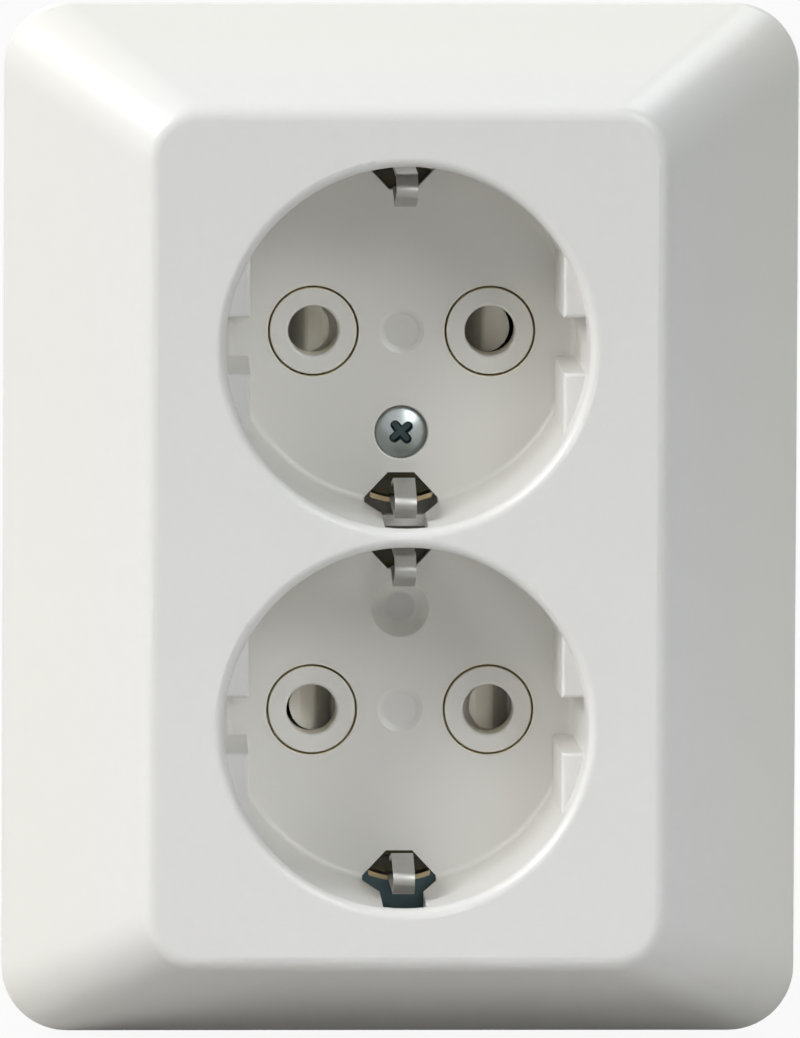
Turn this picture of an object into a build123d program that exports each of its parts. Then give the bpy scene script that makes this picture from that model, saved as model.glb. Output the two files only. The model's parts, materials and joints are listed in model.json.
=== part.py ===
from build123d import *
from math import hypot, sqrt
import os

# Double earthed socket outlet for a flush wall box, in millimetres.
# X runs right, Z up and Y into the wall, so the front faces -Y and the wall plane is y = 0.
# Heights are counted forward from the wall plane, so what lies in the wall has a negative height.

# Gangs and pins
gang_pitch = 41.0
pin_pitch = 19.0
pin_hole_diameter = 5.4
pin_hole_rounding = 0.35

# Cover outline
cover_width = 85.4
cover_tall = 111.2
cover_corner = 7.0
cover_rim = 2.0
cover_height = 21.5
cover_wall = 2.0
plateau_width = 55.35
plateau_tall = 92.6
plateau_corner = 5.9
plateau_rounding = 1.9
shoulder_rounding = 0.6

# Wells
well_rim_radius = 19.5
well_floor_radius = 18.8
well_rim_rounding = 1.1
well_floor_rounding = 0.7
well_wall = 1.6
floor_height = 4.0
floor_thickness = 1.3
dimple_diameter = 4.9
dimple_depth = 0.25
dimple_taper = 70.0
gate_mark_diameter = 0.5
gate_mark_height = 0.12
gate_mark_offset = 0.37

# Guide blocks at the sides of each well
guide_flat = 16.5
guide_rise = 14.0
guide_notch = 5.4
guide_draft = 1.2
guide_rounding = 0.4

# Ribs behind the cover
rib_thickness = 1.2
rib_clearance = 5.0
rib_offset = 10.0

# Earth slots in the well floor and wall
slot_inner_radius = 15.29
slot_inner_width = 2.84
slot_shoulder_radius = 18.03
slot_shoulder_width = 7.96
slot_shoulder_rise = 1.1
slot_top_width = 4.7
slot_taper_rise = 6.6
slot_neck_radius = 19.9
slot_recess_radius = 19.9
slot_outer_rise = 13.4
slot_rise = 16.1

# Cover screw and its seat
screw_offset = 10.95
screw_head_diameter = 5.5
screw_head_height = 1.25
screw_head_side = 0.45
screw_diameter = 3.0
screw_reach = 4.0
screw_seat_depth = 1.1
screw_seat_clearance = 0.12
screw_hole_clearance = 0.2
recess_arm = 3.1
recess_slot = 1.1
recess_core = 1.5
recess_depth = 1.2
recess_taper = 12.0
recess_turn = 40.0
boss_diameter = 8.0
blind_depth = 1.5
blind_diameter = 6.2
blind_taper = 40.0
blind_rounding = 0.6
seat_rounding = 0.2

# Mounting plate
plate_width = 71.0
plate_tall = 86.0
plate_corner = 5.0
plate_thickness = 1.0
box_screw_pitch = 60.0
box_slot_width = 4.2
box_slot_length = 8.0
plate_clearance = 0.25

# Base
base_width = 43.2
base_tall = 53.0
base_round_radius = 31.3
base_depth = 21.0
base_floor = 3.6
base_edge = 0.8
flange_overhang = 3.2
flange_thickness = 1.4
flange_lip = 1.2
trough_width = 8.4
trough_end = 24.2
nose_reach = 0.55
nose_length = 2.2
nose_width = 5.0
nose_offset = 13.0
core_width = 7.0
core_end = 22.5
core_start = 13.0
core_middle = 11.0
core_skin = 2.0

# Contact covers
collar_diameter = 9.35
collar_gap = 0.22
collar_rounding = 0.12
contact_cover_length = 39.0
contact_cover_width = 9.7
contact_cover_thickness = 0.9
contact_cover_clearance = 0.1

# Shutters
shutter_travel = 5.7
shutter_thickness = 4.5
shutter_width = 5.5
shutter_clearance = 0.15
shutter_stop_gap = 0.1
ramp_lead = 2.9
ramp_foot = 2.4
ramp_knee = 0.6
ramp_crest = 1.1
ramp_knee_drop = 0.75
ramp_drop = 3.9
ramp_knee_rounding = 1.2
ramp_end = 2.25
bridged_ramp_end = 1.9
ramp_end_radius = 2.8
bridge_drop = 0.9
bridge_end = 6.4
rail_width = 7.0
rail_start = 11.5
rail_stop = 8.2

# Shutter springs
spring_diameter = 2.2
spring_wire = 0.35
spring_turns = 6
spring_side_gap = 0.2
spring_end_gap = 0.05
spring_cover = 0.5
spring_seat = 0.5
post_thickness = 1.2
post_width = 3.2
post_gap = 0.3

# Earth straps and clips
strap_width = 6.64
strap_thickness = 0.5
strap_radius = 18.55
strap_bow_radius = 9.2
strap_lift = 0.3
strap_channel_gap = 0.4
clip_thickness = 0.45
clip_width = 2.32
clip_foot_radius = 16.2
clip_leg_radius = 18.2
clip_foot_length = 1.0
clip_nose_radius = 14.3
clip_nose_rise = 8.3
clip_bend_radius = 16.27
clip_bend_rise = 13.9
clip_shoulder_radius = 18.1
clip_shoulder_rise = 12.0
clip_end_radius = 15.7
clip_end_rise = 2.4
clip_leg_rounding = 0.7
clip_shoulder_rounding = 0.9
clip_nose_rounding = 1.4
clip_bend_rounding = 0.7
clip_corner = 0.45
clip_notch_gap = 0.05

# Threaded bushes and earth rivets
bush_diameter = 5.0
bush_neck_diameter = 4.0
bush_length = 6.0
thread_clearance = 0.05
rivet_offset = 10.6
rivet_diameter = 2.4
rivet_head_diameter = 4.0
rivet_head_height = 0.5

# Contact rails
rail_thickness = 0.7
rail_strip_width = 6.2
contact_length = 7.0
contact_grip = 4.4
contact_grip_depth = 9.0
contact_mouth = 5.9
contact_mouth_depth = 6.6
terminal_tab_width = 7.0
terminal_tab_offset = 5.25
terminal_tab_top = 8.3

# Terminals
wire_room = 2.0
clamp_thickness = 1.0
clamp_width = 7.2
clamp_depth = 6.4
clamp_hole_clearance = 0.1
terminal_screw_diameter = 3.5
terminal_screw_length = 4.9
terminal_head_diameter = 6.0
terminal_head_height = 2.0
terminal_head_edge = 0.3
terminal_slot_width = 0.9
terminal_slot_depth = 0.9
terminal_depth = 11.8
terminal_pocket_gap = 0.6
terminal_hole_clearance = 0.3
wire_hole_diameter = 3.2
wire_hole_offset = 2.7
earth_tab_width = 8.0
earth_tab_start = 25.6
earth_tab_length = 12.0
earth_tab_gap = 0.35
earth_terminal_depth = 7.0
earth_screw_room = 2.0

# Levels worked out from the sizes above
floor_back = floor_height - floor_thickness
strap_front = plate_thickness + strap_thickness
boss_bottom = strap_front + contact_cover_clearance
screw_seat = floor_height - screw_seat_depth
base_front = plate_thickness
cover_plate_back = base_front - contact_cover_thickness
shutter_front = cover_plate_back - shutter_clearance
shutter_back = shutter_front - shutter_thickness
pocket_floor = shutter_back - shutter_clearance
trough_floor = base_floor - base_depth
rail_front = trough_floor + rail_thickness
tube_radius = well_rim_radius + well_wall
pin_offset = pin_pitch / 2

# Each gang has its own plane: the lower one is the upper one turned half round
gang_planes = {
    "upper": Plane(origin=(0, 0, gang_pitch / 2), x_dir=(1, 0, 0), z_dir=(0, -1, 0)),
    "lower": Plane(origin=(0, 0, -gang_pitch / 2), x_dir=(-1, 0, 0), z_dir=(0, -1, 0)),
}
ends = {"top": 1, "bottom": -1}
sides = {"live": 1, "neutral": -1}

# How far each earth clip stands outside the drawn place, as pressed springs differ a little
clip_lean = {
    "upper_top": 0.0,
    "upper_bottom": 0.6,
    "lower_top": 0.2,
    "lower_bottom": 0.0,
}

os.makedirs("parts", exist_ok=True)


def side_plane(gang):
    """Section through a gang's middle: local x up the gang, local y forward."""
    return Plane(origin=gang.origin, x_dir=gang.y_dir, z_dir=gang.x_dir)


def plan_plane(gang):
    """Section across a gang's pins: local x along the pins, local y forward."""
    return Plane(origin=gang.origin, x_dir=gang.x_dir, z_dir=gang.y_dir * -1)


def wall_slot_plane(gang, end):
    """Plane that faces one end of a well: local y forward, from the slot's shoulder outwards."""
    start = gang.origin + gang.y_dir * (end * slot_shoulder_radius)
    return Plane(origin=start, x_dir=gang.x_dir * -end, z_dir=gang.y_dir * end)


def across(gang, offset, height):
    """Plane along a gang's pin line, facing its side: local x forward, for bores along the pin line."""
    start = gang.origin + gang.x_dir * offset + gang.z_dir * height
    return Plane(origin=start, x_dir=gang.z_dir, z_dir=gang.x_dir)


def raised(gang, offset, height):
    """A gang's plane moved up the gang by an offset and forward to a height."""
    start = gang.origin + gang.y_dir * offset + gang.z_dir * height
    return Plane(origin=start, x_dir=gang.x_dir, z_dir=gang.z_dir)


def finish(piece, name):
    """Label a finished piece and write it."""
    piece.label = name
    export_step(piece, f"parts/{name}.step")


# Cover: the hollow behind its slopes
slope_rise = cover_height - cover_rim
side_run = (cover_width - plateau_width) / 2
end_run = (cover_tall - plateau_tall) / 2
side_inset = cover_wall * hypot(side_run, slope_rise) / slope_rise
end_inset = cover_wall * hypot(end_run, slope_rise) / slope_rise
hollow_width = cover_width - 2 * side_inset
hollow_tall = cover_tall - 2 * end_inset
hollow_share = (slope_rise - cover_wall) / slope_rise
hollow_corner = cover_corner - cover_wall
hollow_top_corner = plateau_corner - cover_wall

with BuildPart() as hollow:
    with BuildSketch(Plane.XZ):
        RectangleRounded(hollow_width, hollow_tall, hollow_corner)
    extrude(amount=cover_rim)
    with BuildSketch(Plane.XZ.offset(cover_rim)):
        RectangleRounded(hollow_width, hollow_tall, hollow_corner)
    with BuildSketch(Plane.XZ.offset(cover_height - cover_wall)):
        RectangleRounded(
            hollow_width - 2 * side_run * hollow_share,
            hollow_tall - 2 * end_run * hollow_share,
            hollow_top_corner,
        )
    loft(ruled=True)

# Cover: the ribs that tie the wells to the slopes
with BuildPart() as ribs:
    with BuildSketch(Plane.XZ.offset(rib_clearance)):
        with Locations((0, gang_pitch / 2), (0, -gang_pitch / 2)):
            Rectangle(cover_width, rib_thickness)
        with Locations((rib_offset, 0), (-rib_offset, 0)):
            Rectangle(rib_thickness, cover_tall)
    extrude(amount=cover_height)
    add(hollow.part, mode=Mode.INTERSECT)

# Cover: the guide blocks beside each well, with a notch in the middle of each side
guides = {}
for name, gang in gang_planes.items():
    with BuildPart() as blocks:
        with BuildSketch(gang.offset(floor_height)):
            Circle(well_rim_radius + well_wall / 2)
            Rectangle(2 * guide_flat, 2 * tube_radius, mode=Mode.SUBTRACT)
            Rectangle(2 * tube_radius, guide_notch, mode=Mode.SUBTRACT)
        extrude(amount=guide_rise, taper=guide_draft)
        middle = gang.origin + gang.z_dir * (floor_height + guide_rise / 2)
        corners = blocks.edges().filter_by(GeomType.LINE).sort_by_distance(middle)[:4]
        fronts = blocks.faces().sort_by(Axis.Y)[:4].edges().filter_by(GeomType.LINE)
        fillet(corners + fronts, guide_rounding)
    guides[name] = blocks.part

# Cover
with BuildPart() as cover:
    with BuildSketch(Plane.XZ):
        RectangleRounded(cover_width, cover_tall, cover_corner)
    extrude(amount=cover_rim)
    with BuildSketch(Plane.XZ.offset(cover_rim)):
        RectangleRounded(cover_width, cover_tall, cover_corner)
    with BuildSketch(Plane.XZ.offset(cover_height)):
        RectangleRounded(plateau_width, plateau_tall, plateau_corner)
    loft(ruled=True)
    fillet(cover.faces().sort_by(Axis.Y)[0].edges(), plateau_rounding)
    fillet(cover.edges().filter_by_position(Axis.Y, -cover_rim, -cover_rim), shoulder_rounding)
    add(hollow.part, mode=Mode.SUBTRACT)
    add(ribs.part)

    for name, gang in gang_planes.items():
        # Well tube and the boss behind its screw seat
        with BuildSketch(gang.offset(floor_back)):
            Circle(tube_radius)
        extrude(amount=cover_height - cover_wall / 2 - floor_back)
        with BuildSketch(gang.offset(boss_bottom)):
            with Locations((0, -screw_offset)):
                Circle(boss_diameter / 2)
        extrude(amount=floor_height - boss_bottom)

    for name, gang in gang_planes.items():
        # Well, with its rounded rim and floor edge
        with BuildSketch(plan_plane(gang)):
            with BuildLine():
                rim_centre = (well_rim_radius + well_rim_rounding, cover_height - well_rim_rounding)
                floor_centre = (well_floor_radius - well_floor_rounding, floor_height + well_floor_rounding)
                start = Line((0, floor_height), (floor_centre[0], floor_height))
                floor_arc = CenterArc(floor_centre, well_floor_rounding, -90, 90)
                rim_arc = CenterArc(rim_centre, well_rim_rounding, 90, 90)
                Line(floor_arc @ 1, rim_arc @ 1)
                Polyline(
                    rim_arc @ 0,
                    (rim_centre[0], cover_height + cover_wall),
                    (0, cover_height + cover_wall),
                    start @ 0,
                )
            make_face()
        revolve(axis=Axis(gang.origin, gang.z_dir), mode=Mode.SUBTRACT)

        # Holes for the pin collars
        with BuildSketch(gang.offset(floor_height)):
            with Locations((pin_offset, 0), (-pin_offset, 0)):
                Circle(collar_diameter / 2 + collar_gap)
        extrude(amount=-floor_thickness, mode=Mode.SUBTRACT)

    collar_rims = cover.edges().filter_by(GeomType.CIRCLE).filter_by_position(Axis.Y, -floor_height, -floor_height)
    fillet(collar_rims.sort_by(SortBy.RADIUS)[:4], collar_rounding)

    for name, gang in gang_planes.items():
        add(guides[name])

        # Dimple in the middle of the floor
        with BuildSketch(gang.offset(floor_height)):
            Circle(dimple_diameter / 2)
        extrude(amount=-dimple_depth, taper=dimple_taper, mode=Mode.SUBTRACT)

        # Earth slots through the floor and up the wall: the outer ends open into the hollow of the
        # cover, and the inner ends run into each other under a bridge at the rim
        for end in ends.values():
            floor_reach = tube_radius if end > 0 else slot_neck_radius
            wall_reach = tube_radius if end > 0 else gang_pitch / 2
            wall_rise = slot_outer_rise if end > 0 else slot_rise
            with BuildSketch(gang.offset(floor_back)):
                with BuildLine():
                    Polyline(
                        (-slot_inner_width / 2, end * slot_inner_radius),
                        (-slot_shoulder_width / 2, end * slot_shoulder_radius),
                        (-slot_shoulder_width / 2, end * floor_reach),
                        (slot_shoulder_width / 2, end * floor_reach),
                        (slot_shoulder_width / 2, end * slot_shoulder_radius),
                        (slot_inner_width / 2, end * slot_inner_radius),
                        close=True,
                    )
                make_face()
            extrude(amount=floor_thickness + slot_shoulder_rise, mode=Mode.SUBTRACT)
            with BuildSketch(wall_slot_plane(gang, end)):
                with BuildLine():
                    Polyline(
                        (-slot_shoulder_width / 2, floor_height),
                        (-slot_shoulder_width / 2, floor_height + slot_shoulder_rise),
                        (-slot_top_width / 2, floor_height + slot_taper_rise),
                        (-slot_top_width / 2, floor_height + wall_rise),
                        (slot_top_width / 2, floor_height + wall_rise),
                        (slot_top_width / 2, floor_height + slot_taper_rise),
                        (slot_shoulder_width / 2, floor_height + slot_shoulder_rise),
                        (slot_shoulder_width / 2, floor_height),
                        close=True,
                    )
                make_face()
            extrude(amount=wall_reach - slot_shoulder_radius, mode=Mode.SUBTRACT)
            with BuildSketch(wall_slot_plane(gang, end)):
                with Locations((0, floor_height + slot_rise)):
                    Rectangle(slot_top_width, slot_rise - slot_taper_rise, align=(Align.CENTER, Align.MAX))
            extrude(amount=slot_recess_radius - slot_shoulder_radius, mode=Mode.SUBTRACT)

    # Screw seat in the upper well, and the closed dish at the same place in the lower
    seat_plane = raised(gang_planes["upper"], -screw_offset, floor_height)
    with Locations(seat_plane):
        CounterBoreHole(
            radius=screw_diameter / 2 + screw_hole_clearance,
            counter_bore_radius=screw_head_diameter / 2 + screw_seat_clearance,
            counter_bore_depth=screw_seat_depth,
            depth=floor_height - boss_bottom,
        )
    blind_plane = raised(gang_planes["lower"], -screw_offset, floor_height)
    with BuildSketch(blind_plane):
        Circle(blind_diameter / 2)
    extrude(amount=-blind_depth, taper=blind_taper, mode=Mode.SUBTRACT)
    blind_bottom = blind_plane.offset(-blind_depth).origin
    fillet(cover.edges().filter_by(GeomType.CIRCLE).sort_by_distance(blind_bottom)[0], blind_rounding)
    floor_rims = cover.edges().filter_by(GeomType.CIRCLE).filter_by_position(Axis.Y, -floor_height, -floor_height)
    seat_rims = [floor_rims.sort_by_distance(plane.origin)[0] for plane in (seat_plane, blind_plane)]
    fillet(seat_rims, seat_rounding)

    # Mark that the mould's gate leaves in the upper dimple
    with BuildSketch(raised(gang_planes["upper"], gate_mark_offset, floor_height - dimple_depth)):
        Circle(gate_mark_diameter / 2)
    extrude(amount=gate_mark_height)
finish(cover.part, "cover")

# Cover screw
screw_plane = raised(gang_planes["upper"], -screw_offset, screw_seat)
dome_rise = screw_head_height - screw_head_side
dome_radius = ((screw_head_diameter / 2) ** 2 + dome_rise**2) / (2 * dome_rise)
with BuildPart() as cover_screw:
    with BuildSketch(plan_plane(screw_plane)):
        with BuildLine():
            head_base = Line((0, 0), (screw_head_diameter / 2, 0))
            head_side = Line(head_base @ 1, (screw_head_diameter / 2, screw_head_side))
            dome = RadiusArc(head_side @ 1, (0, screw_head_height), -dome_radius)
            Line(dome @ 1, head_base @ 0)
        make_face()
    revolve(axis=Axis(screw_plane.origin, screw_plane.z_dir))
    with BuildSketch(screw_plane):
        Circle(screw_diameter / 2)
    extrude(amount=-(screw_seat + screw_reach))
    with BuildSketch(screw_plane.offset(screw_head_height)):
        Circle(recess_core / 2)
        for turn in (recess_turn, recess_turn + 90):
            SlotOverall(recess_arm, recess_slot, rotation=turn)
    extrude(amount=-recess_depth, taper=recess_taper, mode=Mode.SUBTRACT)
finish(cover_screw.part, "cover_screw")

# Contact covers
for name, gang in gang_planes.items():
    with BuildPart() as contact_cover:
        with BuildSketch(gang.offset(cover_plate_back)):
            SlotOverall(contact_cover_length, contact_cover_width)
        extrude(amount=contact_cover_thickness)
        with BuildSketch(gang.offset(base_front)):
            with Locations((pin_offset, 0), (-pin_offset, 0)):
                Circle(collar_diameter / 2)
        extrude(amount=floor_height - base_front)
        with BuildSketch(gang.offset(floor_height)):
            with Locations((pin_offset, 0), (-pin_offset, 0)):
                Circle(pin_hole_diameter / 2)
        extrude(amount=cover_plate_back - floor_height, mode=Mode.SUBTRACT)
        mouth_edges = contact_cover.edges().filter_by_position(Axis.Y, -floor_height, -floor_height)
        fillet(mouth_edges.sort_by(SortBy.RADIUS)[:2], pin_hole_rounding)
        collar_edges = contact_cover.edges().filter_by_position(Axis.Y, -floor_height, -floor_height)
        fillet(collar_edges.sort_by(SortBy.RADIUS)[-2:], collar_rounding)
    finish(contact_cover.part, f"{name}_contact_cover")

# Shutters: a plug's pins press on the ramps and slide both towards the gang's right
half_width = shutter_width / 2
shutter_left = -pin_offset - ramp_lead
shutter_right = pin_offset + ramp_end
arc_back = ramp_end_radius - sqrt(ramp_end_radius**2 - half_width**2)
spring_bore = spring_diameter / 2 + spring_side_gap
spring_height = shutter_back + spring_cover + spring_bore
seat_left = -pin_offset - spring_seat
post_left = shutter_travel - bridge_end + post_gap

for name, gang in gang_planes.items():
    with BuildPart() as shutter:
        with BuildSketch(gang.offset(shutter_back)):
            for pin, end in ((pin_offset, ramp_end), (-pin_offset, bridged_ramp_end)):
                with BuildLine():
                    end_arc = ThreePointArc(
                        (pin + end - arc_back, -half_width),
                        (pin + end, 0),
                        (pin + end - arc_back, half_width),
                    )
                    Polyline(
                        end_arc @ 1,
                        (pin - ramp_lead, half_width),
                        (pin - ramp_lead, -half_width),
                        end_arc @ 0,
                    )
                make_face()
            with Locations(((rail_stop - rail_start) / 2, 0)):
                with GridLocations(0, (rail_width + shutter_width) / 2, 1, 2):
                    Rectangle(rail_start + rail_stop, (rail_width - shutter_width) / 2)
        extrude(amount=shutter_thickness)
        with BuildSketch(gang.offset(shutter_back)):
            with Locations((-bridge_end, 0)):
                Rectangle(pin_offset - bridge_end, shutter_width, align=(Align.MAX, Align.CENTER))
        extrude(amount=shutter_thickness - bridge_drop)
        with BuildSketch(plan_plane(gang)):
            for pin in (pin_offset, -pin_offset):
                with BuildLine():
                    ramp = FilletPolyline(
                        (pin + ramp_crest, shutter_front),
                        (pin - ramp_knee, shutter_front - ramp_knee_drop),
                        (pin - ramp_foot, shutter_front - ramp_drop),
                        radius=ramp_knee_rounding,
                    )
                    Polyline(
                        ramp @ 1,
                        (pin - ramp_lead, shutter_front - ramp_drop),
                        (pin - ramp_lead, shutter_front),
                        ramp @ 0,
                    )
                make_face()
        extrude(amount=half_width, both=True, mode=Mode.SUBTRACT)
        with BuildSketch(across(gang, seat_left, spring_height)):
            Circle(spring_bore)
        extrude(amount=-seat_left - bridge_end, mode=Mode.SUBTRACT)
    finish(shutter.part, f"{name}_shutter")

# Shutter springs, from the seat in the shutter to the base's post
spring_start = seat_left + spring_wire / 2 + spring_end_gap
spring_span = post_left - spring_wire / 2 - spring_end_gap - spring_start
coil_radius = (spring_diameter - spring_wire) / 2

for name, gang in gang_planes.items():
    coil_start = across(gang, spring_start, spring_height).origin
    with BuildPart() as spring:
        with BuildLine():
            coil = Helix(
                spring_span / spring_turns,
                spring_span,
                coil_radius,
                center=coil_start,
                direction=gang.x_dir,
            )
        with BuildSketch(Plane(origin=coil @ 0, z_dir=coil % 0)):
            Circle(spring_wire / 2)
        sweep(path=coil, is_frenet=True)
    finish(spring.part, f"{name}_shutter_spring")

# Base
flange_front = base_front + flange_thickness
terminal_wall = pin_offset + terminal_tab_offset + rail_thickness / 2
clamp_outer = terminal_wall + wire_room + clamp_thickness
terminal_pocket_end = clamp_outer + terminal_pocket_gap

with BuildPart() as base:
    with BuildSketch(Plane.XZ.offset(-base_depth)):
        Rectangle(base_width, base_tall)
        Circle(base_round_radius, mode=Mode.INTERSECT)
    extrude(amount=base_depth + base_front)
    chamfer(base.faces().sort_by(Axis.Y)[-1].edges(), base_edge)

    # Flange in front of the mounting plate
    with BuildSketch(Plane.XZ.offset(base_front)):
        Rectangle(base_width + 2 * flange_overhang, base_tall + 2 * flange_overhang)
        Circle(base_round_radius + flange_overhang, mode=Mode.INTERSECT)
        Rectangle(base_width - 2 * flange_lip, base_tall - 2 * flange_lip, mode=Mode.SUBTRACT)
        Rectangle(strap_width + 2 * strap_channel_gap, 2 * base_tall, mode=Mode.SUBTRACT)
    extrude(amount=flange_thickness)

    for name, gang in gang_planes.items():
        # Seat for the contact cover
        with BuildSketch(gang.offset(flange_front)):
            SlotOverall(
                contact_cover_length + 2 * contact_cover_clearance,
                contact_cover_width + 2 * contact_cover_clearance,
            )
        extrude(amount=cover_plate_back - flange_front, mode=Mode.SUBTRACT)

        # Shutter pocket, and the post that holds the spring's far end
        with BuildSketch(gang.offset(cover_plate_back)):
            with Locations((shutter_left - shutter_stop_gap, 0)):
                Rectangle(
                    shutter_right - shutter_left + shutter_travel + 2 * shutter_stop_gap,
                    shutter_width + 2 * shutter_clearance,
                    align=(Align.MIN, Align.CENTER),
                )
            with Locations((-rail_start - shutter_stop_gap, 0)):
                Rectangle(
                    rail_start + rail_stop + shutter_travel + 2 * shutter_stop_gap,
                    rail_width + shutter_clearance,
                    align=(Align.MIN, Align.CENTER),
                )
            with Locations((post_left, 0)):
                Rectangle(
                    post_thickness,
                    post_width,
                    align=(Align.MIN, Align.CENTER),
                    mode=Mode.SUBTRACT,
                )
        extrude(amount=pocket_floor - cover_plate_back, mode=Mode.SUBTRACT)

        # Bore for the threaded bush
        with Locations(raised(gang, -screw_offset, base_front)):
            Hole(bush_diameter / 2 + thread_clearance, depth=bush_length)

    for side in sides.values():
        # Trough for a contact rail, and the pocket of its terminal
        with BuildSketch(Plane.XZ.offset(base_front)):
            with Locations((side * pin_offset, 0)):
                Rectangle(trough_width, 2 * trough_end)
        extrude(amount=trough_floor - base_front, mode=Mode.SUBTRACT)
        with BuildSketch(Plane.XZ.offset(base_front)):
            with Locations((side * (pin_offset + terminal_pocket_end) / 2, 0)):
                Rectangle(terminal_pocket_end - pin_offset, clamp_width + terminal_pocket_gap)
        extrude(amount=trough_floor - base_front, mode=Mode.SUBTRACT)

        # Screwdriver hole in the side wall and wire holes in the back
        with BuildSketch(Plane(origin=(side * pin_offset, terminal_depth, 0), z_dir=(side, 0, 0))):
            Circle(terminal_head_diameter / 2 + terminal_hole_clearance)
        extrude(amount=base_width / 2, mode=Mode.SUBTRACT)
        with BuildSketch(Plane.XZ.offset(-base_depth)):
            with Locations((side * (terminal_wall + wire_room / 2), 0)):
                with GridLocations(0, 2 * wire_hole_offset, 1, 2):
                    Circle(wire_hole_diameter / 2)
        extrude(amount=base_floor, mode=Mode.SUBTRACT)

        # Snap noses behind the mounting plate
        for level in (nose_offset, -nose_offset):
            with BuildSketch(Plane(origin=(0, 0, level), x_dir=(side, 0, 0), z_dir=(0, 0, -side))):
                with BuildLine():
                    Polyline(
                        (base_width / 2, -plate_clearance),
                        (base_width / 2 + nose_reach, -plate_clearance),
                        (base_width / 2, -nose_length),
                        close=True,
                    )
                make_face()
            extrude(amount=nose_width / 2, both=True)

    # Notch and screw room for the earth terminal
    with BuildSketch(Plane.XZ.offset(base_front)):
        with Locations((0, earth_tab_start - earth_tab_gap)):
            Rectangle(
                earth_tab_width + 2 * earth_tab_gap,
                base_tall,
                align=(Align.CENTER, Align.MIN),
            )
    extrude(amount=-(base_depth + base_front), mode=Mode.SUBTRACT)
    with BuildSketch(Plane.XY.offset(earth_tab_start)):
        with Locations((0, earth_terminal_depth)):
            Circle(terminal_screw_diameter / 2 + terminal_hole_clearance)
    extrude(amount=-earth_screw_room, mode=Mode.SUBTRACT)

    # Hollows from behind that keep the walls even
    core_middle_place = (core_start + core_end) / 2
    with BuildSketch(Plane.XZ.offset(-base_depth)):
        with Locations((0, core_middle_place), (0, -core_middle_place)):
            Rectangle(core_width, core_end - core_start)
        Rectangle(core_width, core_middle)
    extrude(amount=base_depth + pocket_floor - core_skin, mode=Mode.SUBTRACT)
finish(base.part, "base")

# Mounting plate, with its earth tab turned back into the wall
with BuildPart() as mounting_plate:
    with BuildSketch(Plane.XZ):
        RectangleRounded(plate_width, plate_tall, plate_corner)
        with BuildSketch(Plane.XZ, mode=Mode.SUBTRACT):
            Rectangle(base_width + 2 * plate_clearance, base_tall + 2 * plate_clearance)
            Circle(base_round_radius + plate_clearance, mode=Mode.INTERSECT)
            with Locations((0, earth_tab_start)):
                Rectangle(earth_tab_width, base_tall, align=(Align.CENTER, Align.MIN), mode=Mode.SUBTRACT)
        with GridLocations(box_screw_pitch, 0, 2, 1):
            SlotOverall(box_slot_length, box_slot_width, mode=Mode.SUBTRACT)
        with GridLocations(0, gang_pitch + 2 * rivet_offset, 1, 2):
            Circle(rivet_diameter / 2 + thread_clearance, mode=Mode.SUBTRACT)
    extrude(amount=plate_thickness)
    with BuildSketch(Plane.XY.offset(earth_tab_start)):
        with Locations((0, -plate_thickness)):
            Rectangle(earth_tab_width, earth_tab_length + plate_thickness, align=(Align.CENTER, Align.MIN))
        with Locations((0, earth_terminal_depth)):
            Circle(terminal_screw_diameter / 2 + thread_clearance, mode=Mode.SUBTRACT)
    extrude(amount=plate_thickness)
    tab_bend = mounting_plate.edges().filter_by(Axis.X).filter_by_position(Axis.Z, earth_tab_start, earth_tab_start)
    fillet(tab_bend.sort_by(Axis.Y)[0], plate_thickness / 2)
finish(mounting_plate.part, "mounting_plate")

# Earth straps, their bowed ends turned up
for name, gang in gang_planes.items():
    with BuildPart() as strap:
        with BuildSketch(gang.offset(plate_thickness)):
            SlotOverall(2 * strap_radius, 2 * strap_bow_radius, rotation=90)
            Rectangle(strap_width, 2 * strap_radius, mode=Mode.INTERSECT)
            with Locations((0, -screw_offset)):
                Circle(bush_neck_diameter / 2 + thread_clearance, mode=Mode.SUBTRACT)
            with Locations((0, rivet_offset)):
                Circle(rivet_diameter / 2 + thread_clearance, mode=Mode.SUBTRACT)
        extrude(amount=strap_thickness)
        with BuildSketch(gang.offset(plate_thickness)):
            SlotOverall(2 * strap_radius, 2 * strap_bow_radius, rotation=90)
            SlotOverall(
                2 * (strap_radius - strap_thickness),
                2 * (strap_bow_radius - strap_thickness),
                rotation=90,
                mode=Mode.SUBTRACT,
            )
            Rectangle(strap_width, 2 * strap_radius, mode=Mode.INTERSECT)
            Rectangle(clip_width + 2 * clip_notch_gap, 2 * strap_radius, mode=Mode.SUBTRACT)
        extrude(amount=floor_height + strap_lift - plate_thickness)
        bends = strap.edges().filter_by(GeomType.CIRCLE).filter_by_position(Axis.Y, -plate_thickness, -plate_thickness)
        fillet(bends.sort_by(SortBy.RADIUS)[-2:], strap_thickness / 2)
    finish(strap.part, f"{name}_earth_strap")

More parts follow.
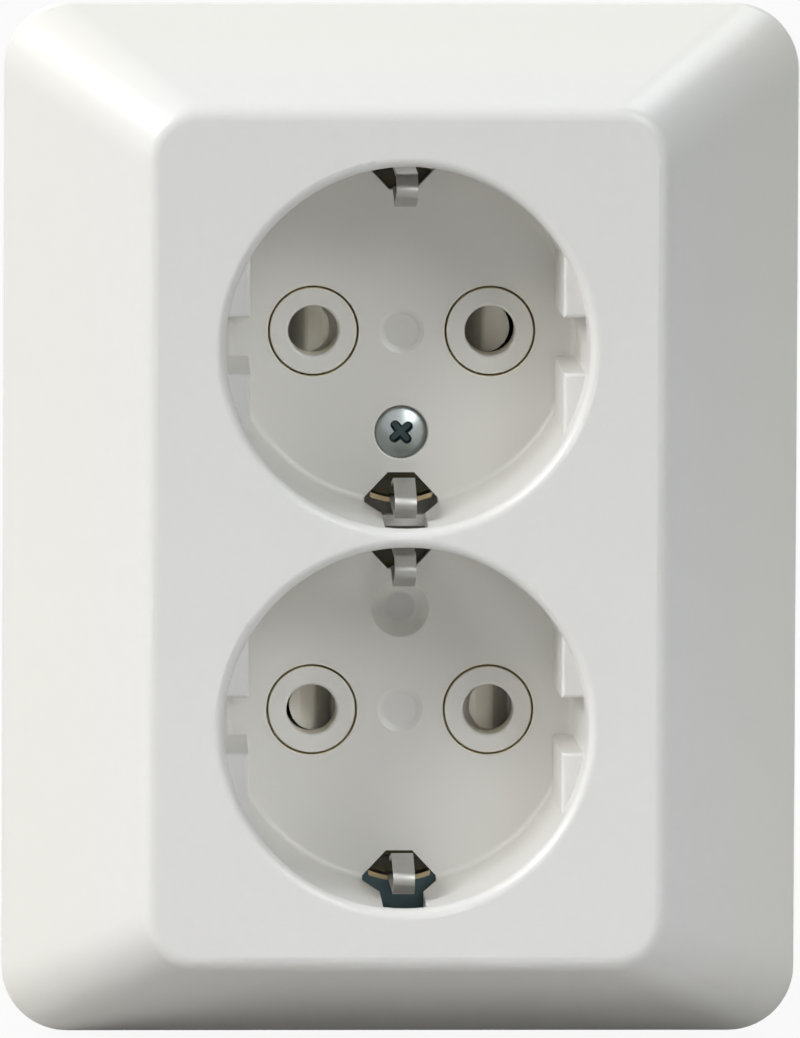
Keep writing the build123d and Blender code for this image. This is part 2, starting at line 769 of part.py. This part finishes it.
# Earth clips: a leg that rises from the strap, folds over and comes down as a spring tongue
foot_height = strap_front + clip_thickness / 2
for name, gang in gang_planes.items():
    for place, end in ends.items():
        lean = clip_lean[f"{name}_{place}"]
        with BuildPart() as clip:
            with BuildSketch(side_plane(gang)):
                with BuildLine():
                    FilletPolyline(
                        (end * clip_foot_radius, foot_height),
                        (end * clip_leg_radius, foot_height),
                        (end * (clip_shoulder_radius + lean), floor_height + clip_shoulder_rise),
                        (end * (clip_bend_radius + lean), floor_height + clip_bend_rise),
                        (end * (clip_nose_radius + lean + clip_thickness / 2), floor_height + clip_nose_rise),
                        (end * (clip_end_radius + lean), floor_height + clip_end_rise),
                        radius=[clip_leg_rounding, clip_shoulder_rounding, clip_bend_rounding, clip_nose_rounding],
                    )
                trace(line_width=clip_thickness)
            extrude(amount=clip_width / 2, both=True)
            tip = clip.edges().filter_by_position(
                Axis.Y, -(floor_height + clip_end_rise + clip_thickness), -(floor_height + clip_end_rise - clip_thickness)
            )
            fillet(tip.filter_by(Axis.X, reverse=True).sort_by(SortBy.LENGTH)[:2], clip_corner)
            with BuildSketch(gang.offset(strap_front)):
                with Locations((0, end * clip_foot_radius)):
                    Rectangle(
                        strap_width,
                        clip_foot_length,
                        align=(Align.CENTER, Align.MIN if end > 0 else Align.MAX),
                    )
            extrude(amount=clip_thickness)
        finish(clip.part, f"{name}_{place}_earth_clip")

# Threaded bushes for the cover screw
with BuildPart() as bushes:
    for gang in gang_planes.values():
        with BuildSketch(gang.offset(base_front)):
            with Locations((0, -screw_offset)):
                Circle(bush_diameter / 2)
        extrude(amount=-bush_length)
        with BuildSketch(gang.offset(base_front)):
            with Locations((0, -screw_offset)):
                Circle(bush_neck_diameter / 2)
        extrude(amount=strap_thickness)
        with Locations(raised(gang, -screw_offset, strap_front)):
            Hole(screw_diameter / 2 + thread_clearance, depth=bush_length + strap_thickness)
finish(bushes.part, "threaded_bushes")

# Rivets that join the straps to the mounting plate
with BuildPart() as rivets:
    for gang in gang_planes.values():
        rivet_plane = raised(gang, rivet_offset, 0)
        with BuildSketch(rivet_plane.offset(-rivet_head_height)):
            Circle(rivet_head_diameter / 2)
        extrude(amount=rivet_head_height)
        with BuildSketch(rivet_plane):
            Circle(rivet_diameter / 2)
        extrude(amount=strap_front)
        with BuildSketch(rivet_plane.offset(strap_front)):
            Circle(rivet_head_diameter / 2)
        extrude(amount=rivet_head_height)
finish(rivets.part, "earth_rivets")

# Contact rails: a strip with a sprung contact at each end and a terminal tab in the middle
strip_half = (rail_strip_width - rail_thickness) / 2
grip_half = (contact_grip + rail_thickness) / 2
mouth_half = (contact_mouth + rail_thickness) / 2
strip_level = (trough_floor + rail_front) / 2

for name, side in sides.items():
    with BuildPart() as rail:
        with BuildSketch(Plane.XZ.offset(trough_floor)):
            with Locations((side * pin_offset, 0)):
                Rectangle(rail_strip_width, gang_pitch)
            with Locations((side * pin_offset, 0)):
                Rectangle(
                    terminal_tab_offset + rail_thickness / 2,
                    terminal_tab_width,
                    align=(Align.MIN if side > 0 else Align.MAX, Align.CENTER),
                )
        extrude(amount=rail_thickness)
        for gang in gang_planes.values():
            contact_middle = gang.origin + Vector(side * pin_offset, 0, 0)
            with BuildSketch(Plane(origin=contact_middle, x_dir=(1, 0, 0), z_dir=(0, 0, -1))):
                with BuildLine():
                    Polyline(
                        (-mouth_half, -contact_mouth_depth),
                        (-grip_half, -contact_grip_depth),
                        (-strip_half, strip_level),
                        (strip_half, strip_level),
                        (grip_half, -contact_grip_depth),
                        (mouth_half, -contact_mouth_depth),
                    )
                trace(line_width=rail_thickness)
            extrude(amount=contact_length / 2, both=True)
        tab_plane = Plane(
            origin=(side * (pin_offset + terminal_tab_offset - rail_thickness / 2), terminal_depth, 0),
            z_dir=(side, 0, 0),
            x_dir=(0, 1, 0),
        )
        with BuildSketch(tab_plane):
            with Locations((-(trough_floor + terminal_depth), 0)):
                Rectangle(-trough_floor - terminal_tab_top, terminal_tab_width, align=(Align.MAX, Align.CENTER))
            Circle(terminal_screw_diameter / 2 + thread_clearance, mode=Mode.SUBTRACT)
        extrude(amount=rail_thickness)
    finish(rail.part, f"{name}_rail")

# Wire clamps and their screws: each plane lies on a clamp's outer face and faces the screwdriver
earth_clamp_outer = earth_tab_start + plate_thickness + wire_room + clamp_thickness
terminal_planes = {
    "live": Plane(origin=(clamp_outer, terminal_depth, 0), x_dir=(0, 0, 1), z_dir=(1, 0, 0)),
    "neutral": Plane(origin=(-clamp_outer, terminal_depth, 0), x_dir=(0, 0, 1), z_dir=(-1, 0, 0)),
    "earth": Plane(origin=(0, earth_terminal_depth, earth_clamp_outer), x_dir=(1, 0, 0), z_dir=(0, 0, 1)),
}
for name, plane in terminal_planes.items():
    with BuildPart() as clamp:
        with BuildSketch(plane):
            Rectangle(clamp_width, clamp_depth)
            Circle(terminal_screw_diameter / 2 + clamp_hole_clearance, mode=Mode.SUBTRACT)
        extrude(amount=-clamp_thickness)
    finish(clamp.part, f"{name}_clamp_plate")

with BuildPart() as terminal_screws:
    for plane in terminal_planes.values():
        with BuildSketch(plane):
            Circle(terminal_head_diameter / 2)
        extrude(amount=terminal_head_height)
        head_middle = plane.origin + plane.z_dir * terminal_head_height
        chamfer(terminal_screws.faces().sort_by_distance(head_middle)[0].edges(), terminal_head_edge)
        with BuildSketch(plane):
            Circle(terminal_screw_diameter / 2)
        extrude(amount=-terminal_screw_length)
        with BuildSketch(plane.offset(terminal_head_height)):
            Rectangle(terminal_head_diameter, terminal_slot_width)
        extrude(amount=-terminal_slot_depth, mode=Mode.SUBTRACT)
finish(terminal_screws.part, "terminal_screws")
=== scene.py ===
import json
import math

import bpy
from mathutils import Matrix, Vector


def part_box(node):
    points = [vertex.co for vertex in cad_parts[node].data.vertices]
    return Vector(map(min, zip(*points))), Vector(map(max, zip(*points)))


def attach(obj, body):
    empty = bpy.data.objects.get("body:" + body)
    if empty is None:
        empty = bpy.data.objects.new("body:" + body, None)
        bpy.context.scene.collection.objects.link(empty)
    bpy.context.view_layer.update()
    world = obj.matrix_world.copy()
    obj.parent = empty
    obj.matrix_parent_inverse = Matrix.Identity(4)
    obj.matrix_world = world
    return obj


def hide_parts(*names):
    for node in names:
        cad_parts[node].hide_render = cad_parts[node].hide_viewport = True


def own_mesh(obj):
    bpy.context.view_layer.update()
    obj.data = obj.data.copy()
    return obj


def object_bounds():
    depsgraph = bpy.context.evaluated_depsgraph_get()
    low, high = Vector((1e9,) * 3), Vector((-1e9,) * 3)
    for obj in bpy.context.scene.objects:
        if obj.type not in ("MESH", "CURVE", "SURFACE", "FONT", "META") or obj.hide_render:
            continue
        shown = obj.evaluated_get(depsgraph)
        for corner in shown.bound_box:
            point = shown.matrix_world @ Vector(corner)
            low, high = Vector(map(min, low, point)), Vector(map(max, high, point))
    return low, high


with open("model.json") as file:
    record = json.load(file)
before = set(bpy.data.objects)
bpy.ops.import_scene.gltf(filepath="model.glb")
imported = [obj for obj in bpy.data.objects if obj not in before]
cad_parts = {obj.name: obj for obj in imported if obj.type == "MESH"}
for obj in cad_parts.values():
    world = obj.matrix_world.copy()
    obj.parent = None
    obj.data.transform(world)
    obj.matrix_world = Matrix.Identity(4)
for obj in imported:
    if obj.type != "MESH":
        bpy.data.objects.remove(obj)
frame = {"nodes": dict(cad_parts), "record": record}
cad_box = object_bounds()
nodes = frame["nodes"]
scene = bpy.context.scene
scene.view_settings.view_transform = "Standard"

MM = 0.001

# Places of the part that materials refer to
WELL_FLOOR = -4.0 * MM
PIN_OFFSET = 9.5 * MM
GANG_OFFSET = 20.5 * MM
BLIND_RECESS_Z = -9.55 * MM
RING_RADIUS = 4.785 * MM
RING_REACH = 0.245 * MM
RING_INNER_REACH = 0.9 * RING_REACH
RING_TOP = WELL_FLOOR + 0.005 * MM
RING_FULL = WELL_FLOOR + 0.03 * MM
MARK_TOP = WELL_FLOOR + 0.05 * MM
MARK_FULL = WELL_FLOOR + 0.15 * MM
RECESS_REACH = 1.7 * MM

# Scales of the noise, the part of its range that is used, and the height of its bump
PLASTIC_COLOUR_SCALE = 700.0
PLASTIC_ROUGHNESS_SCALE = 500.0
PLASTIC_RANGE = (0.0, 1.0)
METAL_COLOUR_SCALE = 260.0
METAL_RANGE = (0.2, 0.8)
BUMP_HEIGHT = 0.05 * MM
PLASTIC_IOR = 1.5


# Node helpers
def new_material(name):
    material = bpy.data.materials.new(name)
    material.use_nodes = True
    tree = material.node_tree
    shader = tree.nodes["Principled BSDF"]
    return material, tree, shader


def add(tree, kind, **values):
    node = tree.nodes.new(kind)
    for key, value in values.items():
        if key in node.inputs:
            node.inputs[key].default_value = value
        else:
            setattr(node, key, value)
    return node


def noise(tree, scale, detail=2.0, stretch=None):
    """A noise over the part's frame, with the axes scaled by stretch where it is given."""
    coordinate = add(tree, "ShaderNodeTexCoord")
    vector = coordinate.outputs["Object"]
    if stretch:
        mapping = add(tree, "ShaderNodeMapping")
        mapping.inputs["Scale"].default_value = stretch
        tree.links.new(vector, mapping.inputs["Vector"])
        vector = mapping.outputs["Vector"]
    texture = add(tree, "ShaderNodeTexNoise", Scale=scale, Detail=detail)
    tree.links.new(vector, texture.inputs["Vector"])
    return texture.outputs["Fac"]


def remap(tree, value, low, high, start, end):
    """Goes from low to high while the value goes from start to end, and stays there outside."""
    node = add(tree, "ShaderNodeMapRange")
    node.inputs["From Min"].default_value = start
    node.inputs["From Max"].default_value = end
    node.inputs["To Min"].default_value = low
    node.inputs["To Max"].default_value = high
    tree.links.new(value, node.inputs["Value"])
    return node.outputs["Result"]


def two_colours(tree, value, first, second, start, end):
    """The first colour up to the value start, the second from end on, and a ramp between them."""
    ramp = add(tree, "ShaderNodeValToRGB")
    ramp.color_ramp.elements[0].position = start
    ramp.color_ramp.elements[1].position = end
    ramp.color_ramp.elements[0].color = (*first, 1)
    ramp.color_ramp.elements[1].color = (*second, 1)
    tree.links.new(value, ramp.inputs["Fac"])
    return ramp.outputs["Color"]


def bump(tree, shader, value, strength):
    node = add(tree, "ShaderNodeBump", Strength=strength, Distance=BUMP_HEIGHT)
    tree.links.new(value, node.inputs["Height"])
    tree.links.new(node.outputs["Normal"], shader.inputs["Normal"])


def place(tree, axis):
    """One coordinate of the surface point in the part's frame, in metres."""
    coordinate = add(tree, "ShaderNodeTexCoord")
    split = add(tree, "ShaderNodeSeparateXYZ")
    tree.links.new(coordinate.outputs["Object"], split.inputs["Vector"])
    return split.outputs[axis]


def blend(tree, share, colour, other):
    """The colour, going over into a fixed other one by a share from 0 to 1."""
    mix = add(tree, "ShaderNodeMix", data_type="RGBA")
    tree.links.new(share, mix.inputs["Factor"])
    tree.links.new(colour, mix.inputs["A"])
    mix.inputs["B"].default_value = (*other, 1)
    return mix.outputs["Result"]


def math_node(tree, operation, *values):
    """A math node's result; each value is a socket or a number."""
    node = add(tree, "ShaderNodeMath", operation=operation)
    for value, socket in zip(values, node.inputs):
        if isinstance(value, bpy.types.NodeSocket):
            tree.links.new(value, socket)
        else:
            socket.default_value = value
    return node.outputs["Value"]


def from_axis(tree, x, z):
    """Distance from a line along Y, from the offsets in X and Z."""
    squares = [math_node(tree, "POWER", offset, 2.0) for offset in (x, z)]
    return math_node(tree, "SQRT", math_node(tree, "ADD", *squares))


def depth_share(tree, start, end):
    """0 to 1 between two depths along Y."""
    return remap(tree, place(tree, "Y"), 0.0, 1.0, start, end)


def collar_rings(tree):
    """1 in the gaps round the four pin collars, from just below the well floor, and 0 elsewhere."""
    x = math_node(tree, "SUBTRACT", math_node(tree, "ABSOLUTE", place(tree, "X")), PIN_OFFSET)
    z = math_node(tree, "SUBTRACT", math_node(tree, "ABSOLUTE", place(tree, "Z")), GANG_OFFSET)
    off_ring = math_node(tree, "SUBTRACT", from_axis(tree, x, z), RING_RADIUS)
    away = math_node(tree, "ABSOLUTE", off_ring)
    edge = remap(tree, away, 1.0, 0.0, RING_INNER_REACH, RING_REACH)
    return math_node(tree, "MULTIPLY", edge, depth_share(tree, RING_TOP, RING_FULL))


def near_axis(tree, centre, reach, soft=1.05):
    """1 within a reach of a line along Y through a place (x, z), going to 0 at soft times that reach."""
    x = math_node(tree, "SUBTRACT", place(tree, "X"), centre[0])
    z = math_node(tree, "SUBTRACT", place(tree, "Z"), centre[1])
    return remap(tree, from_axis(tree, x, z), 1.0, 0.0, reach, reach * soft)


def plastic(
    name, first, second, low, high,
    grain=2600.0, depth=0.02, specular=0.5, painted_depth_light=None, painted_ring_light=None, painted_shade_spots=(),
):
    """Moulded plastic between two colours and two roughnesses.
    deep = (start, end, colour): it goes over into a colour between two depths along Y, painted light and
    shade by depth.
    rings is a pale colour painted into the gaps round the pin collars: painted light, which lifts the
    dark gaps.
    Each of the spots (place, reach, softness, colour) paints shade into a mark sunk into a well floor,
    as a darker disc."""
    material, tree, shader = new_material(name)
    colour = two_colours(tree, noise(tree, PLASTIC_COLOUR_SCALE), first, second, *PLASTIC_RANGE)
    if painted_depth_light:
        start, end, other = painted_depth_light
        colour = blend(tree, depth_share(tree, start, end), colour, other)
    # Painted light: a pale colour in the gaps round the pin collars
    if painted_ring_light:
        colour = blend(tree, collar_rings(tree), colour, painted_ring_light)
    # Painted shade: a darker disc in each dimple and in the blind recess
    for centre, reach, soft, tone in painted_shade_spots:
        sunk = depth_share(tree, MARK_TOP, MARK_FULL)
        share = math_node(tree, "MULTIPLY", sunk, near_axis(tree, centre, reach, soft))
        colour = blend(tree, share, colour, tone)
    tree.links.new(colour, shader.inputs["Base Color"])
    roughness = remap(tree, noise(tree, PLASTIC_ROUGHNESS_SCALE), low, high, *PLASTIC_RANGE)
    tree.links.new(roughness, shader.inputs["Roughness"])
    shader.inputs["IOR"].default_value = PLASTIC_IOR
    shader.inputs["Specular IOR Level"].default_value = specular
    bump(tree, shader, noise(tree, grain, 1.0), depth)
    return material


def metal(
    name, first, second, low, high,
    stretch=(1, 1, 1), grain=900.0, depth=0.02, painted_depth_light=None, within=None, metallic=1.0,
):
    """Plated or bare metal, with deep as for plastic.
    within = (centre, reach): deep holds only round that line along Y."""
    material, tree, shader = new_material(name)
    colour = two_colours(tree, noise(tree, METAL_COLOUR_SCALE), first, second, *METAL_RANGE)
    if painted_depth_light:
        start, end, other = painted_depth_light
        share = depth_share(tree, start, end)
        if within:
            share = math_node(tree, "MULTIPLY", share, near_axis(tree, *within))
        colour = blend(tree, share, colour, other)
    tree.links.new(colour, shader.inputs["Base Color"])
    shader.inputs["Metallic"].default_value = metallic
    roughness = remap(tree, noise(tree, grain, stretch=stretch), low, high, *METAL_RANGE)
    tree.links.new(roughness, shader.inputs["Roughness"])
    bump(tree, shader, noise(tree, grain, stretch=stretch), depth)
    return material


# A pale colour painted into the gaps round the pin collars: painted light where the narrow gaps fall
# into shade
RING_PAINTED_LIGHT = (0.88, 0.80, 0.60)

# The two dimples and the blind recess in the well floors, each with painted shade as a darker disc:
# place (x, z), reach, softness, colour
FLOOR_PAINTED_SHADE = (
    ((0.0, GANG_OFFSET), 1.9 * MM, 1.15, (0.685, 0.673, 0.638)),
    ((0.0, -GANG_OFFSET), 1.9 * MM, 1.15, (0.725, 0.714, 0.685)),
    ((0.0, BLIND_RECESS_Z), 1.45 * MM, 1.35, (0.56, 0.555, 0.535)),
)
screw_low, screw_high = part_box("cover_screw")
screw_axis = ((screw_low[0] + screw_high[0]) / 2, (screw_low[2] + screw_high[2]) / 2)

# Materials: name, two colours, least and greatest roughness
# The white plastic goes warmer further into the wells: painted warm shade, for the light that bounces
# about in them
white = plastic(
    "white_plastic", (0.740, 0.734, 0.714), (0.760, 0.754, 0.734), 0.29, 0.33,
    specular=0.4, painted_depth_light=(-19.0 * MM, -8.0 * MM, (0.760, 0.746, 0.704)),
    painted_ring_light=RING_PAINTED_LIGHT, painted_shade_spots=FLOOR_PAINTED_SHADE,
)
# The collars turn lighter and warmer below the well floor: painted light in the collar gaps and pin
# holes
collar_white = plastic(
    "collar_plastic", (0.745, 0.730, 0.688), (0.765, 0.750, 0.708), 0.29, 0.35,
    specular=0.4, painted_depth_light=(-3.9 * MM, -3.0 * MM, (0.80, 0.75, 0.63)), painted_ring_light=RING_PAINTED_LIGHT,
)
beige = plastic("shutter_plastic", (0.90, 0.875, 0.80), (0.93, 0.905, 0.83), 0.35, 0.45)
base_grey = plastic(
    "base_plastic", (0.44, 0.42, 0.38), (0.52, 0.50, 0.46), 0.42, 0.60, grain=1400.0, depth=0.12,
)
zinc = metal("zinc", (0.50, 0.55, 0.57), (0.62, 0.65, 0.66), 0.29, 0.38)
# The screw's cross recess is painted nearly black: painted shade in the recess
screw_zinc = metal(
    "screw_zinc", (0.31, 0.345, 0.34), (0.40, 0.43, 0.425), 0.30, 0.36, depth=0.012,
    painted_depth_light=(-3.9 * MM, -3.4 * MM, (0.04, 0.06, 0.06)), within=(screw_axis, RECESS_REACH),
)
# The mounting plate turns dark teal towards its front: painted shade where it shows through the slots
plate_zinc = metal(
    "plate_zinc", (0.50, 0.55, 0.57), (0.62, 0.65, 0.66), 0.29, 0.40,
    painted_depth_light=(-0.2 * MM, -0.9 * MM, (0.08, 0.12, 0.13)),
)
steel = metal("spring_steel", (0.48, 0.48, 0.49), (0.58, 0.58, 0.59), 0.29, 0.36)
# The clips go nearly black further back than the well floor: painted shade on the feet under the slots
tin = metal(
    "plated_bronze", (0.40, 0.395, 0.37), (0.45, 0.445, 0.42), 0.40, 0.46, grain=500.0, depth=0.002,
    painted_depth_light=(-4.0 * MM, -2.6 * MM, (0.045, 0.042, 0.03)), metallic=0.7,
)
# The straps go nearly black behind their front edge: painted shade, with only the edge left golden
brass = metal(
    "brass", (0.43, 0.345, 0.19), (0.50, 0.41, 0.235), 0.29, 0.40, stretch=(1, 4, 1),
    painted_depth_light=(-4.5 * MM, -3.8 * MM, (0.055, 0.048, 0.03)),
)

material_of_slot = {
    "white_plastic": white,
    "collar_plastic": collar_white,
    "shutter_plastic": beige,
    "base_plastic": base_grey,
    "zinc": zinc,
    "spring_steel": steel,
    "plated_bronze": tin,
    "brass": brass,
}
material_of_node = {"cover_screw": screw_zinc, "mounting_plate": plate_zinc}
slot_of = {row["node"]: row["material_slot"] for row in frame["record"]["subparts"]}
for name, slot in slot_of.items():
    nodes[name].data.materials.clear()
    nodes[name].data.materials.append(material_of_node.get(name, material_of_slot[slot]))


# Sheet metal and shutters have slightly broken edges
WELD_DISTANCE = 0.001 * MM
EDGE_SEGMENTS = 2


def break_edges(ending, width, least_angle=40.0):
    """Bevels the sharp edges of all nodes whose names have an ending."""
    for name, node in nodes.items():
        if name.endswith(ending):
            weld = node.modifiers.new("weld", "WELD")
            weld.merge_threshold = WELD_DISTANCE
            bevel = node.modifiers.new("edges", "BEVEL")
            bevel.width = width
            bevel.segments = EDGE_SEGMENTS
            bevel.limit_method = "ANGLE"
            bevel.angle_limit = math.radians(least_angle)
            bevel.harden_normals = True


break_edges("_clip", 0.16 * MM)
break_edges("_strap", 0.08 * MM)
break_edges("_clamp_plate", 0.12 * MM)
break_edges("mounting_plate", 0.12 * MM)
break_edges("_shutter", 0.5 * MM, 15.0)


# Shutter springs: one coil each, from its seat to its post, in place of the packed spring
COIL_TURNS = 6
COIL_STEPS = 28
COIL_SIDES = 8
WIRE = 0.175 * MM


def coil(name, first, last, centre, radius, wire):
    """A coil along X between two places, its wire's section kept square to the wire."""
    vertices, faces = [], []
    count = COIL_TURNS * COIL_STEPS
    length = last - first
    for i in range(count + 1):
        share = i / count
        angle = share * COIL_TURNS * math.tau
        outward = Vector((0, math.cos(angle), math.sin(angle)))
        around = Vector((0, -math.sin(angle), math.cos(angle))) * (radius * COIL_TURNS * math.tau)
        along = (around + Vector((length, 0, 0))).normalized()
        middle = Vector((first + length * share, centre[0], centre[1])) + outward * radius
        side = along.cross(outward)
        for k in range(COIL_SIDES):
            turn = k * math.tau / COIL_SIDES
            vertices.append(middle + (outward * math.cos(turn) + side * math.sin(turn)) * wire)
    for i in range(count):
        for k in range(COIL_SIDES):
            n = (k + 1) % COIL_SIDES
            row = i * COIL_SIDES
            faces.append((row + k, row + n, row + COIL_SIDES + n, row + COIL_SIDES + k))
    faces.append(tuple(reversed(range(COIL_SIDES))))
    faces.append(tuple(range(count * COIL_SIDES, (count + 1) * COIL_SIDES)))
    mesh = bpy.data.meshes.new(name)
    mesh.from_pydata([tuple(v) for v in vertices], [], faces)
    mesh.polygons.foreach_set("use_smooth", [len(face) == 4 for face in faces])
    mesh.update()
    piece = bpy.data.objects.new(name, mesh)
    scene.collection.objects.link(piece)
    return piece


for name, toward_post in (("upper", 1), ("lower", -1)):
    low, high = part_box(f"{name}_shutter_spring")
    seat, post = (low[0], high[0]) if toward_post > 0 else (high[0], low[0])
    centre = ((low[1] + high[1]) / 2, (low[2] + high[2]) / 2)
    spring = coil(
        f"{name}_spring_coil",
        seat + toward_post * WIRE,
        post - toward_post * WIRE,
        centre,
        (high[1] - low[1]) / 2 - WIRE,
        WIRE,
    )
    spring.data.materials.append(steel)
    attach(spring, "body")
    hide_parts(f"{name}_shutter_spring")
    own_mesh(spring)


def mirror_ray(tree, path):
    """1 for a glossy or transmission ray."""
    rays = path.outputs["Is Glossy Ray"], path.outputs["Is Transmission Ray"]
    return math_node(tree, "MAXIMUM", *rays)


# Stage: a pale floor just under the cover's lower edge, nearly white to the camera
FLOOR_GAP = 0.3 * MM
FLOOR_REACH = 4.0
FLOOR_COLOUR = (0.45, 0.44, 0.43, 1)
FLOOR_ROUGHNESS = 0.8
FLOOR_SPECULAR = 0.2
FLOOR_WHITE_SEEN = 0.92
FLOOR_WHITE_MIRRORED = 0.3

floor_level = cad_box[0][2] - FLOOR_GAP
floor_mesh = bpy.data.meshes.new("floor")
corners = ((-1, -1), (1, -1), (1, 1), (-1, 1))
floor_mesh.from_pydata(
    [(x * FLOOR_REACH, y * FLOOR_REACH, floor_level) for x, y in corners],
    [],
    [(0, 1, 2, 3)],
)
floor = bpy.data.objects.new("floor", floor_mesh)
scene.collection.objects.link(floor)
floor_material, tree, shader = new_material("floor")
shader.inputs["Base Color"].default_value = FLOOR_COLOUR
shader.inputs["Roughness"].default_value = FLOOR_ROUGHNESS
shader.inputs["Specular IOR Level"].default_value = FLOOR_SPECULAR
path = add(tree, "ShaderNodeLightPath")
glow = add(tree, "ShaderNodeEmission")
glow.inputs["Color"].default_value = (1, 1, 1, 1)
mix = add(tree, "ShaderNodeMixShader")
shown = math_node(tree, "MULTIPLY", path.outputs["Is Camera Ray"], FLOOR_WHITE_SEEN)
white_share = math_node(tree, "MULTIPLY_ADD", mirror_ray(tree, path), FLOOR_WHITE_MIRRORED, shown)
tree.links.new(white_share, mix.inputs["Fac"])
tree.links.new(shader.outputs["BSDF"], mix.inputs[1])
tree.links.new(glow.outputs["Emission"], mix.inputs[2])
tree.links.new(mix.outputs["Shader"], tree.nodes["Material Output"].inputs["Surface"])
floor_mesh.materials.append(floor_material)

# World: white to the camera and to reflections, and no light of its own
world = bpy.data.worlds.new("studio")
scene.world = world
world.use_nodes = True
tree = world.node_tree
tree.nodes.clear()
path = add(tree, "ShaderNodeLightPath")
seen = add(tree, "ShaderNodeBackground")
seen.inputs["Color"].default_value = (1, 1, 1, 1)
unlit = add(tree, "ShaderNodeBackground")
unlit.inputs["Strength"].default_value = 0.0
mix = add(tree, "ShaderNodeMixShader")
output = add(tree, "ShaderNodeOutputWorld")
background = math_node(tree, "MAXIMUM", path.outputs["Is Camera Ray"], mirror_ray(tree, path))
tree.links.new(background, mix.inputs["Fac"])
tree.links.new(unlit.outputs["Background"], mix.inputs[1])
tree.links.new(seen.outputs["Background"], mix.inputs[2])
tree.links.new(mix.outputs["Shader"], output.inputs["Surface"])

# Soft lamps far off, on the part's middle: name, azimuth, elevation, power, colour
NEUTRAL = (1.0, 1.0, 1.0)
COOL = (0.93, 0.975, 1.0)
FAR_AIM = Vector((0, 0, 0))
FAR_DISTANCE = 3.0
FAR_SIZE = 1.5
FAR_LAMPS = [
    ("left", -60.0, 35.0, 71.5, NEUTRAL),
    ("far_left", -90.0, 37.0, 21.5, NEUTRAL),
    ("front_right", 30.0, 33.0, 30.5, COOL),
    ("right_top", 120.0, 60.0, 24.0, COOL),
    ("back", 200.0, 25.0, 28.0, NEUTRAL),
]

# Narrow lamps on the part's lower end, which gets brighter downwards
LOW_AIM = Vector((0.0, -15.0, -70.0)) * MM
LOW_DISTANCE = 1.2
LOW_SIZE = 0.10
LOW_OPENING = math.radians(12.4)
LOW_LAMPS = [
    ("low_right", 58.0, 8.0, 0.0095, COOL),
    ("low_front", 0.0, 8.0, 0.0036, NEUTRAL),
    ("low_left", -55.0, 8.0, 0.0035, NEUTRAL),
]


def direction(azimuth, elevation):
    """The unit vector towards an azimuth (0 is the front, 90 the right) and an elevation, in degrees."""
    a, e = math.radians(azimuth), math.radians(elevation)
    return Vector((math.sin(a) * math.cos(e), -math.cos(a) * math.cos(e), math.sin(e)))


def add_lamp(name, azimuth, elevation, power, colour, aim, distance, size, opening):
    """A round soft lamp that shines on a place and is hidden from the camera."""
    lamp = bpy.data.lights.new(name, "AREA")
    lamp.shape = "DISK"
    lamp.size = size
    lamp.spread = opening
    lamp.energy = power
    lamp.color = colour
    holder = bpy.data.objects.new(name, lamp)
    toward = direction(azimuth, elevation)
    holder.location = aim + toward * distance
    holder.rotation_euler = toward.to_track_quat("Z", "Y").to_euler()
    holder.visible_camera = False
    scene.collection.objects.link(holder)


for row in FAR_LAMPS:
    add_lamp(*row, FAR_AIM, FAR_DISTANCE, FAR_SIZE, math.pi)
for row in LOW_LAMPS:
    add_lamp(*row, LOW_AIM, LOW_DISTANCE, LOW_SIZE, LOW_OPENING)

# Camera: its sensor spans the picture's longer side, which keeps turned views within their clip distance
CAMERA_AZIMUTH = -2.4
CAMERA_ELEVATION = 6.75
CAMERA_DISTANCE = 3.4
CAMERA_ROLL = math.radians(0.28)
CAMERA_AIM = Vector((-0.072, -4.0, 0.1375)) * MM
CAMERA_CLIP_END = 20.0
VIEW_TALL = 111.65 * MM
SENSOR = 36.0

camera_data = bpy.data.cameras.new("camera")
camera_data.sensor_fit = "AUTO"
camera_data.sensor_width = SENSOR
camera_data.lens = SENSOR * CAMERA_DISTANCE / VIEW_TALL
camera_data.clip_end = CAMERA_CLIP_END
camera = bpy.data.objects.new("camera", camera_data)
toward = direction(CAMERA_AZIMUTH, CAMERA_ELEVATION)
facing = toward.to_track_quat("Z", "Y").to_matrix().to_4x4()
stand = Matrix.Translation(CAMERA_AIM + toward * CAMERA_DISTANCE)
camera.matrix_world = stand @ facing @ Matrix.Rotation(CAMERA_ROLL, 4, "Z")
scene.collection.objects.link(camera)
scene.camera = camera
